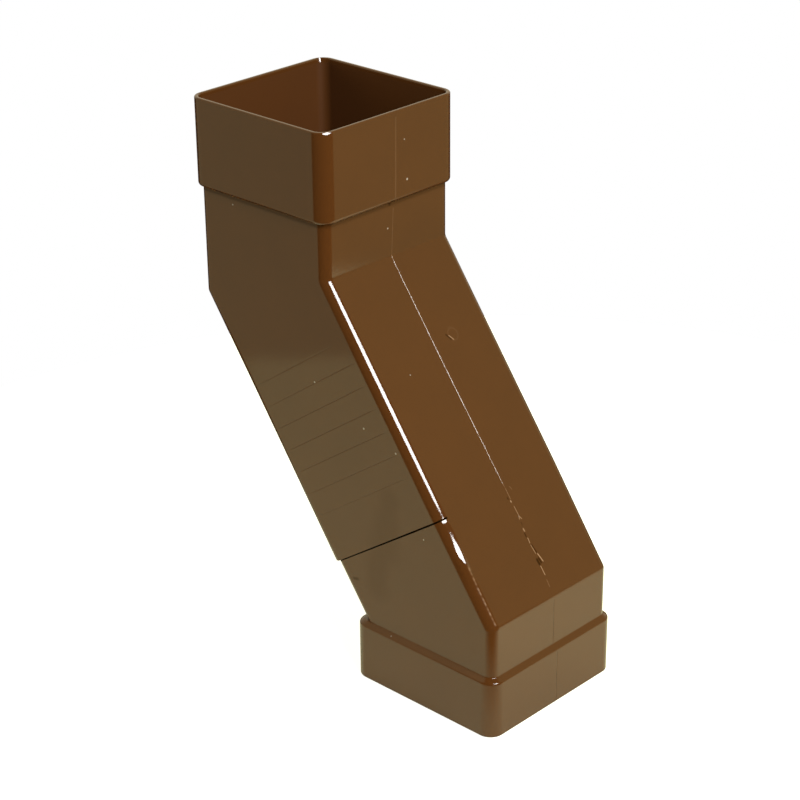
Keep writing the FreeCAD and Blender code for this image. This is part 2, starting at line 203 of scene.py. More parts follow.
def spread(low, high, count, *fine):
    """Even steps between two ends, with finer clusters added: each is (middle, offsets)."""
    steps = [np.linspace(low, high, count)]
    steps += [middle + np.asarray(offsets, float) for middle, offsets in fine]
    found = np.unique(np.round(np.concatenate(steps), 4))
    return found[(found >= low) & (found <= high)]


class Section:
    """Places round a rounded square: each has a place on the core box, from -1 to 1 both ways,
    and an outward normal. The four sides are runs of points whose normal stays, and the four
    corners are points that stay on the core's corner while the normal turns by a right angle."""

    def __init__(self, front, right, back, left):
        turn = np.linspace(0, np.pi / 2, CORNER_STEPS + 1)
        parts = []
        for index, run in enumerate((front, right, back, left)):
            angle = index * np.pi / 2
            along = np.unique(np.concatenate([run, [-SIDE_END, SIDE_END]]))
            along = along[np.abs(along) <= SIDE_END]
            one = np.ones_like(along)
            side = ((one, along), (-along, one), (-one, -along), (along, -one))[index]
            parts.append(np.stack([*side, one * np.cos(angle), one * np.sin(angle)]))
            corner = ((1, 1), (-1, 1), (-1, -1), (1, -1))[index]
            one = np.ones_like(turn)
            core = one * corner[0], one * corner[1]
            parts.append(np.stack([*core, np.cos(angle + turn), np.sin(angle + turn)]))
        found = np.concatenate(parts, 1)
        self.core_a, self.core_b, self.normal_a, self.normal_b = found
        whole = 1 - 1e-9
        before, behind = self.core_a > whole, self.core_a < -whole
        right, left = self.core_b > whole, self.core_b < -whole
        self.on_front = (self.normal_a > whole) & ~right & ~left
        self.on_left = self.normal_b < -whole
        self.on_right_corner, self.on_left_corner = before & right, before & left
        self.on_back_corner, self.on_far_corner = behind & left, behind & right
        turned = np.degrees(np.arctan2(-self.normal_b, self.normal_a))
        self.turned = np.where(self.on_left_corner, np.clip(turned, 0, 90), 0)

    def toward(self, angle, width):
        """A hill round the section about an outward direction, in degrees."""
        away = np.cos(np.radians(angle)) * self.normal_a + np.sin(np.radians(angle)) * self.normal_b
        return bump(np.degrees(np.arccos(np.clip(away, -1, 1))), width)

    def place(self, box, radius):
        """Points of the section: the core box, given from back to front and half across, grown by
        a radius."""
        back, front, half = box
        a = (front + back) / 2 + (front - back) / 2 * self.core_a + radius * self.normal_a
        b = half * self.core_b + radius * self.normal_b
        return np.broadcast_arrays(a, b)


class Bend:
    """A mitred bend of the tube in its middle plane. A line at a distance a in front of the axis
    runs straight down, turns through an arc about a centre on the hollow side, and runs on down
    the slant. The arc's radius grows evenly from the convex rounding to the hollow one. The lower
    bend is the same pattern turned over."""

    LEAST_RADIUS = 0.25

    def __init__(self, v, x, z, turned, convex, convex_at, hollow_at):
        self.v, self.x, self.z, self.sign = v, x, z, -1 if turned else 1
        corner = v.tube_corner
        self.ends = convex_at, convex_at + corner, hollow_at - corner, hollow_at
        self.radii = convex, convex - corner, v.hollow_bend + corner, v.hollow_bend

    def radius(self, a):
        """The arc's radius, which keeps growing past the convex side."""
        beyond = np.maximum(self.ends[0] - a, 0)
        return np.maximum(np.interp(a, self.ends, self.radii) + beyond, self.LEAST_RADIUS)

    def point(self, x, z):
        """A point of the pattern, set in its place and turned over for the lower bend."""
        return self.x + self.sign * x, self.z + self.sign * z

    def tangent(self, a):
        """How far the arc starts before the mitre."""
        return self.radius(a) * self.v.lean

    def upright(self, a, height):
        """A place on the straight run, at a height."""
        return self.x + a, height + 0 * a

    def upright_end(self, a):
        """The height at which the arc starts."""
        a = self.sign * a
        return self.z + self.sign * (a * self.v.lean + self.tangent(a))

    def turning(self, a, part):
        """A place on the arc, from 0 on the straight run to 1 on the slant."""
        a = self.sign * a
        r = self.radius(a)
        angle = part * self.v.tilt
        x = a + r - r * np.cos(angle)
        z = a * self.v.lean + self.tangent(a) - r * np.sin(angle)
        return self.point(x, z)

    def slant_end(self, a):
        """Where the arc ends, as a distance along the slant from the bend point."""
        a = self.sign * a
        return a * self.v.lean + self.tangent(a)

    def slanted(self, a, along):
        """A place on the slant, at a distance from the bend point."""
        a = self.sign * a
        sin, cos = self.v.sin, self.v.cos
        return self.point(cos * a + sin * along, sin * a - cos * along)


def closed_skin(name, skin):
    """A closed skin through a grid of points in millimetres, with shares of dark grime and painted
    shade, of pale scuff and painted highlight, and of matte surface for each point. Rows run down
    the outside and up the inside, columns run round the section, and both ways the grid joins its
    own start."""
    grid, marks = skin
    count_rows, count_columns, _ = grid.shape
    index = np.arange(count_rows * count_columns).reshape(count_rows, count_columns)
    below = np.roll(index, -1, 0)
    beside, across = np.roll(index, -1, 1), np.roll(below, -1, 1)
    faces = np.stack([index, below, across, beside], -1).reshape(-1, 4)
    mesh = bpy.data.meshes.new(name)
    mesh.from_pydata((grid.reshape(-1, 3) * MM).tolist(), [], faces.tolist())
    mesh.validate()
    mesh.shade_smooth()
    mesh.set_sharp_from_angle(angle=SHARP_ANGLE)
    for mark in MARKS:
        share_of = mesh.attributes.new(mark, "FLOAT", "POINT")
        share_of.data.foreach_set("value", marks[mark].astype(np.float32).ravel())
    piece = bpy.data.objects.new(name, mesh)
    bpy.context.scene.collection.objects.link(piece)
    return piece


# The flat rubbed on the rim's near corner: where it faces, round and up, and its depth.
RUBBED_TURN = math.radians(-27)
RUBBED_RISE = math.radians(26)
RUBBED_DEPTH = 0.29
# The bevel inside the rim's far corner: its direction and half width in degrees, then its inset
# and its drop.
BEVEL_TURN, BEVEL_WIDTH, BEVEL_INSET, BEVEL_DROP = 150, 28, 0.87, 2.0
# The parting line on the slant: its height and its share of pale scuff and painted highlight.
RIDGE_HEIGHT, RIDGE_SCUFF_AND_GLINT = 0.11, 0.55


def parting_line(along, across, at, width=0.24):
    """The parting line: a hill of height 1 across it, whose top wavers along it."""
    waver = 0.80 + 0.20 * np.sin(along * 0.9) * np.sin(along * 0.37 + 1.0)
    return waver * bump(across - at, width)


def drift(along):
    """Where the parting line lies across the slanted front: it drifts to the right lower down."""
    return np.interp(along, (14.0, 70.0, 125.0), (1.7, 1.9, 2.7))


# The trimmed gate on the slanted front: its place along it from the upper bend, and across it.
GATE_ALONG, GATE_ACROSS = 55.95, 14.9
# Small strokes on the slanted front, in the same way: from along, across, to along, across, half
# width, height, share of grime and painted shade, share of scuff and painted highlight.
# At the gate the pale stroke is a painted highlight, the dark one a painted shade.
TORN_GATE = (
    (55.9, 12.2, 58.3, 13.9, 0.45, 0.08, 0.0, 0.75),
    (55.0, 10.9, 57.8, 12.6, 0.60, -0.05, 0.85, 0.0),
)
CHIPS = (
    (117.0, 2.7, 134.0, 2.9, 0.24, 0.03, 0.0, 0.45),
    (123.4, 3.6, 130.5, 6.2, 0.24, 0.03, 0.0, 0.30),
    (133.0, 1.5, 133.8, 1.6, 0.50, -0.04, 0.8, 0.0),
    (135.0, 2.5, 135.4, 2.5, 0.55, 0.06, 0.0, 1.0),
    (137.7, 3.0, 143.2, 3.2, 0.30, 0.04, 0.0, 0.6),
    (142.8, 3.2, 144.2, 3.9, 0.36, 0.05, 0.0, 0.7),
    (142.8, 3.2, 144.0, 2.6, 0.36, 0.05, 0.0, 0.7),
    (145.6, 2.8, 147.0, 2.6, 0.40, -0.03, 0.45, 0.0),
    (148.7, 2.2, 149.7, 2.3, 0.65, 0.05, 0.0, 0.7),
    (150.6, 1.8, 152.4, 1.8, 0.50, -0.05, 0.9, 0.0),
    (153.2, 2.3, 155.6, 2.1, 0.36, 0.05, 0.0, 0.8),
    (156.8, 2.7, 160.8, 3.5, 0.42, -0.06, 1.0, 0.0),
    (156.6, 2.1, 161.0, 2.6, 0.28, 0.04, 0.0, 0.7),
    (161.5, 3.6, 165.5, 4.7, 0.40, 0.06, 0.0, 1.0),
    (163.7, 1.8, 166.0, 2.0, 1.00, -0.08, 1.0, 0.0),
    (163.4, 3.0, 165.8, 3.4, 0.62, -0.05, 1.0, 0.0),
    (167.0, 2.1, 171.3, 2.2, 0.34, 0.05, 0.0, 0.9),
    (173.6, 1.9, 177.0, 1.7, 0.24, 0.03, 0.0, 0.35),
)


def strokes(along, across, table):
    """Chips and torn flash: a hill or a pit about each short stroke. Gives the lift and the shares
    of dark grime with painted shade and of pale scuff with painted highlight."""
    lift, dark, pale = 0.0, 0.0, 0.0
    for along_0, across_0, along_1, across_1, width, height, grime_and_shade, scuff_and_glint in table:
        run, side = along_1 - along_0, across_1 - across_0
        part = ((along - along_0) * run + (across - across_0) * side) / (run * run + side * side)
        part = np.clip(part, 0, 1)
        hill = bump(np.hypot(along - along_0 - part * run, across - across_0 - part * side), width)
        lift = lift + height * hill
        dark = np.maximum(dark, grime_and_shade * hill)
        pale = np.maximum(pale, scuff_and_glint * hill)
    return lift, dark, pale


def gate_mark(along, across):
    """The trimmed gate: a low round step with a faint pale ring painted as the highlight on its
    edge, torn at its lower left with a painted highlight and a painted shade. Gives the lift and
    the shares of painted shade and painted highlight."""
    away = np.hypot(along - GATE_ALONG, across - GATE_ACROSS)
    lift, dark, pale = strokes(along, across, TORN_GATE)
    step = 0.04 * ease(3.2 - away, 0, 0.8)
    glint_ring = 0.05 * bump(away - 2.9, 0.6)
    return lift + step, dark, np.maximum(pale, glint_ring)


def crown(turned):
    """The part of the front's left corner that meets the lamp's gleam: 1 in its middle."""
    return ease(turned, 0, 14) * (1 - ease(turned, 40, 75))


def worn_corner(along, turned, radius):
    """The lower front corner: it stands out a little at the seam, dips, swells where the cemented
    edge was dressed, ends that swelling in a narrow ridge, and is rubbed in a thin dotted line
    further down, painted pale as the glints on that wear. Gives the lift and that painted pale
    share."""
    swell = 0.05 * ease(along, 128.3, 130.4) - 0.17 * ease(along, 130.4, 134.8)
    swell = swell + 0.58 * np.clip((along - 134.5) / 15, 0, 1) ** 2
    swell = swell * (1 - ease(along, 149.8, 162))
    ridge = 0.22 * bump(turned - 22, 16) * ease(along, 145.5, 150.5) * (1 - ease(along, 152, 162))
    depth = ease(along, 139, 144.5) * (1 - ease(along, 144.5, 149.5)) + bump(along - 129.7, 1.4)
    flat = (radius - 0.02 - 0.13 * depth) / np.cos(np.radians(np.clip(turned - 24, -60, 60)))
    lift = (swell + 0.13 * depth) * crown(turned) + ridge + np.minimum(flat - radius, 0)
    beads = 0.55 + 0.45 * np.sin(along * 1.9) * np.sin(along * 0.71)
    rub_glint = beads * bump(turned - 15, 6.5) * ease(along, 150, 152) * (1 - ease(along, 178, 184))
    return lift * (turned > 0), rub_glint * (turned > 0)


# The cut marks from the upper bend down: the shares of their depth and of the dirt and painted
# shade in them, and the run over which they fade out at the front.
CUTS = (
    (0.15, 1.0, 14),
    (0.35, 0.8, 3),
    (0.9, 0.9, 3),
    (1.0, 1.1, 3),
    (1.0, 1.2, 3),
    (1.0, 0.9, 3),
    (0.7, 0.7, 3),
)
CUT_WIDTH = 0.32
CUT_DIRT_AND_SHADE = 0.16


def cut_places(v):
    """Where the cut marks lie along the slant."""
    return [v.mark_first + number * v.mark_pitch for number in range(len(CUTS))]


def cut_marks(v, along, a):
    """Fine grooves across the left side, which fade at their ends. Gives the shares of their depth
    and of the dirt and painted shade in them."""
    deep = darkened = 0.0
    for middle, (depth, dirt_and_shade, run) in zip(cut_places(v), CUTS):
        fade = np.clip((a + 34.5) / 3, 0, 1) * np.clip((33.0 - a) / run, 0, 1)
        mark = fade * bump(along - middle, CUT_WIDTH)
        deep = deep + depth * mark
        darkened = darkened + dirt_and_shade * mark
    return deep, darkened


def sides(v):
    """The section that both mouldings share, with fine columns at the front's marks."""
    fine = [np.arange(-1.2, 0.9, 0.3), np.arange(0.9, 4.0, 0.08), np.arange(4.0, 7.0, 0.2)]
    gate = (GATE_ACROSS, np.arange(-4.6, 3.8, 0.2))
    front = spread(-v.core, v.core, 17, (0, np.concatenate(fine)), gate) / v.core
    left = np.linspace(-1, 1, 25)
    plain = np.linspace(-1, 1, 13)
    return Section(front, plain, plain, left)


class Skin:
    """Rows of points of one closed skin, with the shares of its marks for each point."""

    def __init__(self, section, bend):
        self.section, self.bend = section, bend
        self.points, self.marks = [], {mark: [] for mark in MARKS}
        self.matte = 0.0

    def add(self, b, places, grime_and_shade=0.0, scuff_and_glint=0.0):
        """Rows of points, by their places across and in the middle plane."""
        found = np.stack([*np.broadcast_arrays(places[0], b, places[1])], -1)
        self.points.append(found)
        for mark, value in zip(MARKS, (grime_and_shade, scuff_and_glint, self.matte)):
            self.marks[mark].append(np.broadcast_to(value, found.shape[:2]))

    def stand(self, core, radius, height, grime_and_shade=0.0):
        """Rows on the upright run, by a core box, radii and heights."""
        a, b = self.section.place(core, radius)
        self.add(b, self.bend.upright(a, height), grime_and_shade)

    def stripe(self, core, radius, height, rise, at, grime_and_shade=0.0, scuff_and_glint=0.0, width=0.24):
        """Rows on the upright run whose front carries the parting line, raised or sunk."""
        a, b = self.section.place(core, radius + 0 * height)
        hill = np.where(self.section.on_front, parting_line(height, b, at, width), 0)
        self.add(b, self.bend.upright(a + rise * hill, height), grime_and_shade * hill, scuff_and_glint * hill)

    def turn(self, core, radius, parts, rise=0.0, at=0.0):
        """Rows round the bend, whose front may carry the parting line."""
        a, b = self.section.place(core, radius + 0 * parts)
        hill = np.where(self.section.on_front, parting_line(parts, b, at), 0)
        self.add(b, self.bend.turning(a + rise * hill, parts), 0.0, hill * (rise > 0))

    def done(self):
        """The whole grid of points, and the shares of each mark."""
        marks = {mark: np.concatenate(found) for mark, found in self.marks.items()}
        return np.concatenate(self.points), marks


def upper_grid(v):
    """The upper moulding: its section is carried down from the rim, over the socket's shoulder,
    round the bend and down the sleeve, then back up the inside."""
    section = sides(v)
    bend = Bend(v, -v.offset, v.high, False, v.upper_convex, -v.half, v.half)
    skin = Skin(section, bend)
    box = (-v.core, v.core, v.core)
    corner = v.tube_corner
    inner = corner - v.wall
    socket = corner + v.top_side / 2 - v.half
    lining = socket - v.wall
    edge, under = v.rim_edge, v.top_edge

    # The rim is rubbed to a flat at its near corner.
    turn = quarter(6)
    sin, cos = math.sin(RUBBED_RISE), math.cos(RUBBED_RISE)
    facing = cos * math.cos(RUBBED_TURN), cos * math.sin(RUBBED_TURN)
    heights = v.rim - edge - rows(0.2, 0.5, 0.9, 1.3, 1.8)
    radii = np.concatenate([socket - edge + edge * np.sin(turn), socket + 0 * heights])
    heights = np.concatenate([v.rim - edge + edge * np.cos(turn), heights])
    along = radii * (section.normal_a * facing[0] + section.normal_b * facing[1]) + heights * sin
    reach = (socket - edge) * cos + (v.rim - edge) * sin + edge - RUBBED_DEPTH
    cut = np.maximum(along - reach, 0) * section.on_left_corner
    a, b = section.place(box, radii)
    skin.add(b - cut * facing[1], bend.upright(a - cut * facing[0], heights - cut * sin))
    # The socket's side, whose parting line is scuffed pale and painted with its highlight.
    heights = np.linspace(v.rim - edge - 2.2, v.shoulder + under + 0.3, 9)[:, None]
    at = 2.2 + 0.7 * (heights - v.shoulder) / v.top_height
    skin.stripe(box, socket, heights, 0.03, at, scuff_and_glint=0.14, width=0.6)

    # Painted shade lies under the shoulder and on the neck below it, and in a nick where the
    # parting line crosses its edge.
    nick = 0.95 * bump(v.core * section.core_b - 0.7, 1.4) * section.on_front
    radii = socket - under + under * np.cos(turn)
    skin.stand(box, radii, v.shoulder + under - under * np.sin(turn), nick * (turn > 0.5))
    skin.stand(box, rows(corner), rows(v.shoulder), 1.0)
    down = rows(0.1, 0.5, 1.0, 1.6, 2.0, 2.4, 3.2)
    grime_and_shade = 0.40 * np.clip((2.9 - down) / 1.2, 0, 1) ** 2
    skin.stand(box, corner + 0 * down, v.shoulder - down, np.maximum(grime_and_shade, nick * (down < 1.8)))

    # The neck and the bend, with the parting line, scuffed pale and painted with its highlight.
    parts = rows(*np.linspace(0.14, 0.94, 9), 0.99)
    a, b = section.place(box, corner + 0 * parts)
    height = v.shoulder + (bend.upright_end(a) - v.shoulder) * parts
    skin.stripe(box, corner, height, 0.03, 3.2 - 1.4 * parts, scuff_and_glint=0.24)
    skin.turn(box, corner, np.linspace(0, 1, 9)[:, None], 0.10, 1.75)

    # The slant, with finer rows at its marks and near the seam.
    start = 20.0
    end = v.sleeve_length - v.seam_gap
    parts = rows(0.02, 0.3, 0.6, 0.85)
    a, b = section.place(box, corner + 0 * parts)
    first = bend.slant_end(a)
    along = first + (start + v.seam_skew * a - first) * parts
    hill = np.where(section.on_front, parting_line(along, b, drift(along)), 0)
    a, b = section.place(box, corner + RIDGE_HEIGHT * hill)
    skin.add(b, bend.slanted(a, along), 0.0, RIDGE_SCUFF_AND_GLINT * hill)

    groove = (-0.5, -0.32, -0.2, -0.1, 0, 0.1, 0.2, 0.32, 0.5)
    clusters = [(middle, groove) for middle in cut_places(v)]
    clusters += [(GATE_ALONG, np.arange(-3.6, 4.2, 0.2)), (end, np.arange(-12.0, -0.5, 0.6))]
    places = spread(start, end - 0.3, 56, *clusters)[:, None]

    def swelling(along):
        """The flare towards the seam, less the easing of the front's left corner near it."""
        dip = 0.07 * np.clip((along - 117) / 10.4, 0, 1) ** 2 * crown(section.turned)
        return v.flare * np.clip((along - 30) / 95, 0, 1) - dip

    a, b = section.place(box, corner + 0 * places)
    along = places + v.seam_skew * a
    hill = np.where(section.on_front, parting_line(along, b, drift(along)), 0)
    gate, dark, pale = (np.where(section.on_front, found, 0) for found in gate_mark(along, b))
    lift = RIDGE_HEIGHT * hill + gate + swelling(along)
    deep, darkened = np.where(section.on_left, cut_marks(v, places, a), 0)
    a, b = section.place(box, corner + lift - v.mark_depth * deep)
    skin.add(b, bend.slanted(a, along), dark + CUT_DIRT_AND_SHADE * darkened, RIDGE_SCUFF_AND_GLINT * hill + pale)

    # The sleeve ends at the seam, with its hidden corner rounded off. Its end face is painted dark
    # as the shade in the seam.
    last = np.where(section.on_front | section.on_right_corner, v.sleeve_length, end)
    last = last - 0.7 * ease(-section.normal_a, 0, 0.7) * section.on_back_corner
    full = corner + swelling(last)
    for radius, grime_and_shade in ((full, 0.0), (full - 0.05, 1.0), (inner + 0 * full, 1.0)):
        a, b = section.place(box, radius[None, :])
        skin.add(b, bend.slanted(a, last + v.seam_skew * a), grime_and_shade)

    # The inside is matte and dimmed with a little painted shade, and its rows run up to the
    # bevelled rim.
    skin.matte = 1.0
    parts = rows(0.01, *np.linspace(0.1, 0.99, 12))
    a, b = section.place(box, inner + 0 * parts)
    first = bend.slant_end(a)
    skin.add(b, bend.slanted(a, end + v.seam_skew * a + (first - end - v.seam_skew * a) * parts))
    skin.turn(box, inner, np.linspace(1, 0, 9)[:, None])
    ledge = v.shoulder + v.wall
    parts = rows(0.99, 0.6, 0.3, 0.01, 0)
    a, b = section.place(box, inner + 0 * parts)
    skin.add(b, bend.upright(a, ledge + (bend.upright_end(a) - ledge) * parts))
    heights = rows(ledge, ledge + 0.3, (ledge + v.rim) / 2, v.rim - BEVEL_DROP - 0.3)
    skin.stand(box, lining + 0 * heights, heights)
    skin.matte = 0.0
    bevel = section.toward(BEVEL_TURN, BEVEL_WIDTH) * section.on_far_corner
    part = np.sin(turn) ** 2
    inset, drop = edge - edge * np.cos(turn), edge - edge * np.sin(turn)
    inset = inset + bevel * (BEVEL_INSET * part - inset)
    drop = drop + bevel * (BEVEL_DROP * (1 - part) - drop)
    skin.stand(box, lining + inset, v.rim - drop)
    return skin.done()


def lower_grid(v):
    """The lower moulding: from the spigot's end down over the leg, the bend, the neck and the
    bottom socket to its rim, then back up through the pipe's place, the throat and the channel."""
    section = sides(v)
    recess = v.half - v.spigot
    bend = Bend(v, 0.0, v.low, True, v.lower_convex, -v.half, v.spigot)
    skin = Skin(section, bend)
    box = (-v.core + recess, v.core, v.core)
    square = (-v.core, v.core, v.core)
    corner = v.tube_corner
    socket = corner + v.bottom_side / 2 - v.half
    lining = socket - v.wall
    edge = v.rim_edge

    def spigot(along, grime_and_shade):
        """Rows of the spigot, at distances from the upper bend point."""
        a, b = section.place(square, v.spigot - v.core + 0 * along)
        skin.add(b, bend.slanted(a, v.slant - along - v.seam_skew * a), grime_and_shade)

    # The spigot, and the shoulder that faces the sleeve's end. It rises to the back, and closes
    # the seam at the hidden corner. The spigot's last rows and this shoulder are painted dark as
    # the shade in the seam.
    tip = v.sleeve_length - v.spigot_length
    seam = v.sleeve_length
    spigot(rows(tip, tip + 0.3, (tip + seam) / 2, seam - 2), 0.0)
    spigot(rows(seam - 1.2, seam), 1.0)
    near = np.clip((-section.normal_a - 0.07) / 0.07, 0, 1) * section.on_back_corner
    narrow = 0.3 * np.clip((20 - v.core * section.core_a) / 55, 0, 1) * (section.core_b < -0.99)
    seam = seam - np.maximum(narrow, 0.9 * v.seam_gap * near)
    beside = 1 - np.clip(-section.normal_a, 0, 1)
    a, b = section.place(box, rows(corner - 0.05) + v.flare * beside)
    skin.add(b, bend.slanted(a, v.slant - seam - v.seam_skew * a), 1.0)

    # The shoulder slopes down, with a hollow rounding above the slope and a convex one below.
    swing = np.pi / 2 - v.shoulder_fall
    turn = np.linspace(0, swing, 7)[:, None]
    bite, fall = math.tan(swing / 2), math.tan(v.shoulder_fall)
    root, curve = v.shoulder_root, v.shoulder_edge
    crest = v.bottom_height + v.shoulder_shelf * fall
    hollow_radius = corner + root - root * np.cos(turn)
    hollow_height = crest + root * bite - root * np.sin(turn)
    foot = crest - (socket - corner) * fall - curve * bite
    convex_radius = socket - curve + curve * np.cos(turn[::-1])
    convex_height = foot + curve * np.sin(turn[::-1])
    floor, top = hollow_height[-1, 0], hollow_height[0, 0]

    # The leg with its chips and its worn corner, the bend and the neck. At the back they end in
    # the shoulder.
    parts = rows(0, *np.linspace(0.01, 0.98, 150), 0.995)
    a, b = section.place(box, corner)
    along = seam + (v.slant - bend.slant_end(a) - seam) * parts
    along = along + v.seam_skew * a * (1 - parts)
    lift, dark, pale = (np.where(section.on_front, found, 0) for found in strokes(along, b, CHIPS))
    # The leg's rows at the seam's hidden corner are painted dark as the shade in the seam.
    dark = np.maximum(dark, near * (along < v.sleeve_length + v.seam_skew * a - 0.1))
    swell, rub_glint = worn_corner(along, section.turned, corner)
    swell = swell + v.flare * beside * (1 - parts)
    a, b = section.place(box, corner + lift + swell)
    x, z = bend.slanted(a, v.slant - along)
    skin.add(b, (x, np.maximum(z, floor)), dark, pale + 0.6 * rub_glint)
    parts = np.linspace(1, 0, 11)[:, None]
    a, b = section.place(box, corner + 0 * parts)
    x, z = bend.turning(a, parts)
    skin.add(b, (x, np.maximum(z, floor)))

    parts = rows(0.02, *np.linspace(0.1, 0.9, 7), 0.98)
    a, b = section.place(box, corner + 0 * parts)
    high = np.maximum(bend.upright_end(a), floor)
    # The sunk parting line is darkened with dirt and painted shade in its groove.
    skin.stripe(box, corner, high + (np.minimum(top, high) - high) * parts, -0.08, 1.7, 0.6)
    a, b = section.place(box, hollow_radius)
    skin.add(b, bend.upright(a, np.minimum(hollow_height, np.maximum(bend.upright_end(a), floor))))
    skin.stand(square, hollow_radius[-1:] + 0.05, hollow_height[-1:] - 0.05)
    skin.stand(square, convex_radius, convex_height)
    # The socket's sunk parting line is darkened the same way.
    skin.stripe(square, socket, np.linspace(foot - 0.2, edge + 0.2, 8)[:, None], -0.08, 1.7, 0.6)
    # The rim, and the inside up to the ledge, which is matte and dimmed with a little painted
    # shade.
    turn = quarter(5)
    skin.stand(square, socket - edge + edge * np.cos(turn), edge - edge * np.sin(turn))
    skin.stand(square, lining + edge - edge * np.sin(turn), edge - edge * np.cos(turn))
    skin.matte = 1.0
    ledge = v.bottom_height - v.wall
    heights = rows(edge + 0.2, ledge / 2, ledge - 0.2, ledge)
    skin.stand(square, lining + 0 * heights, heights)

    # The throat and the slanted channel meet in a flat mitre, from its back to its front.
    sharp = 0.6
    throat = (sharp - v.channel, v.bore - sharp, v.bore - sharp)
    way = (sharp - v.channel, v.channel - sharp, v.channel - sharp)
    cross = (v.bore - v.channel * v.cos) / v.sin
    front = (v.bore, v.low + v.channel * v.sin - v.cos * cross)
    cross = (v.channel * v.cos - v.channel) / v.sin
    back = (-v.channel, v.low - v.channel * v.sin - v.cos * cross)
    a, b = section.place(throat, sharp)
    mitre = back[1] + (a - back[0]) * (front[1] - back[1]) / (front[0] - back[0])
    parts = rows(0, 0.02, 0.5, 0.98, 1)
    skin.add(b, bend.upright(a + 0 * parts, ledge + (mitre - ledge) * parts))
    a, b = section.place(way, sharp)
    part = (a + v.channel) / (2 * v.channel)
    x = back[0] + part * (front[0] - back[0])
    z = back[1] + part * (front[1] - back[1])
    first = v.slant + x * v.sin - (z - v.low) * v.cos
    along = first + (tip - first) * parts
    skin.add(b, bend.slanted(a + 0 * parts, v.slant - along - v.seam_skew * a * parts))
    return skin.done()


# Shader maths.


class Wire:
    """A socket's output, with which sums are written as expressions."""

    def __init__(self, sheet, socket):
        self.sheet, self.socket = sheet, socket

    def math(self, operation, *others, clamp=False):
        """A sum on this value and others."""
        settings = {"operation": operation, "use_clamp": clamp}
        return self.sheet.node("ShaderNodeMath", settings, dict(enumerate([self, *others])))

    def __add__(self, other):
        return self.math("ADD", other)

    __radd__ = __add__

    def __mul__(self, other):
        return self.math("MULTIPLY", other)

    __rmul__ = __mul__

    def __sub__(self, other):
        return self.math("SUBTRACT", other)

    def __rsub__(self, other):
        return self.sheet.node("ShaderNodeMath", {"operation": "SUBTRACT"}, {0: other, 1: self})

    def __truediv__(self, other):
        return self.math("DIVIDE", other)

    def clamped(self):
        """The value, kept from 0 to 1."""
        return self.math("ADD", 0.0, clamp=True)


class Finish:
    """The node tree of one material or world."""

    def __init__(self, owner):
        owner.use_nodes = True
        self.tree = owner.node_tree
        self.tree.nodes.clear()

    def node(self, kind, settings, sockets, output=0):
        """Any node: its type, its settings, and the values or links of its sockets."""
        made = self.tree.nodes.new(kind)
        for key, value in settings.items():
            setattr(made, key, value)
        for key, value in sockets.items():
            if isinstance(value, Wire):
                self.tree.links.new(value.socket, made.inputs[key])
            else:
                made.inputs[key].default_value = value
        return Wire(self, made.outputs[output]) if made.outputs else made

    def mix(self, factor, first, second):
        """A mix of two colours."""
        sockets = {"Factor": factor, 6: first, 7: second}
        return self.node("ShaderNodeMix", {"data_type": "RGBA"}, sockets, 2)

    def vector(self, operation, first, second):
        """A number found from two vectors."""
        settings = {"operation": operation}
        return self.node("ShaderNodeVectorMath", settings, {0: first, 1: second}, "Value")


# How far the spots below cover the plastic, and how far the matte inside is dimmed with painted
# shade.
DUST_COVER, DARK_REFLECTION_COVER, SMUDGE_COVER, INSIDE_PAINTED_SHADE = 0.75, 0.11, 0.42, 0.07
# Specks of dust on the faces, as their places and radii in millimetres.
SPECKS = (
    (-56.0, 9.8, 226.6, 0.42),
    (-56.0, 8.2, 245.5, 0.25),
    (-58.3, -0.6, 205.5, 0.3),
    (-116.6, -40.2, 213.3, 0.28),
    (-66.8, -40.3, 141.0, 0.35),
    (-36.2, -40.5, 127.8, 0.4),
    (-16.7, -40.5, 122.0, 0.38),
    (-0.2, -40.5, 85.2, 0.3),
    (-19.6, -42.0, 28.9, 0.42),
    (-27.9, -19.0, 149.2, 0.25),
)
# A faint painted dark reflection beside the seam, as a cloud in the same form.
DARK_REFLECTION = (
    (-20.9, -40.4, 97.3, 5.0),
    (-22.3, -40.4, 85.7, 6.5),
    (-24.4, -40.4, 73.2, 8.0),
    (-29.6, -40.4, 60.4, 6.0),
    (-29.0, -40.4, 49.9, 6.0),
)
# A dark smudge on the leg, as three such spots in a row.
SMUDGE = (
    (-44.0, -40.4, 48.9, 0.65),
    (-42.8, -40.4, 49.2, 0.65),
    (-41.6, -40.4, 49.5, 0.65),
)


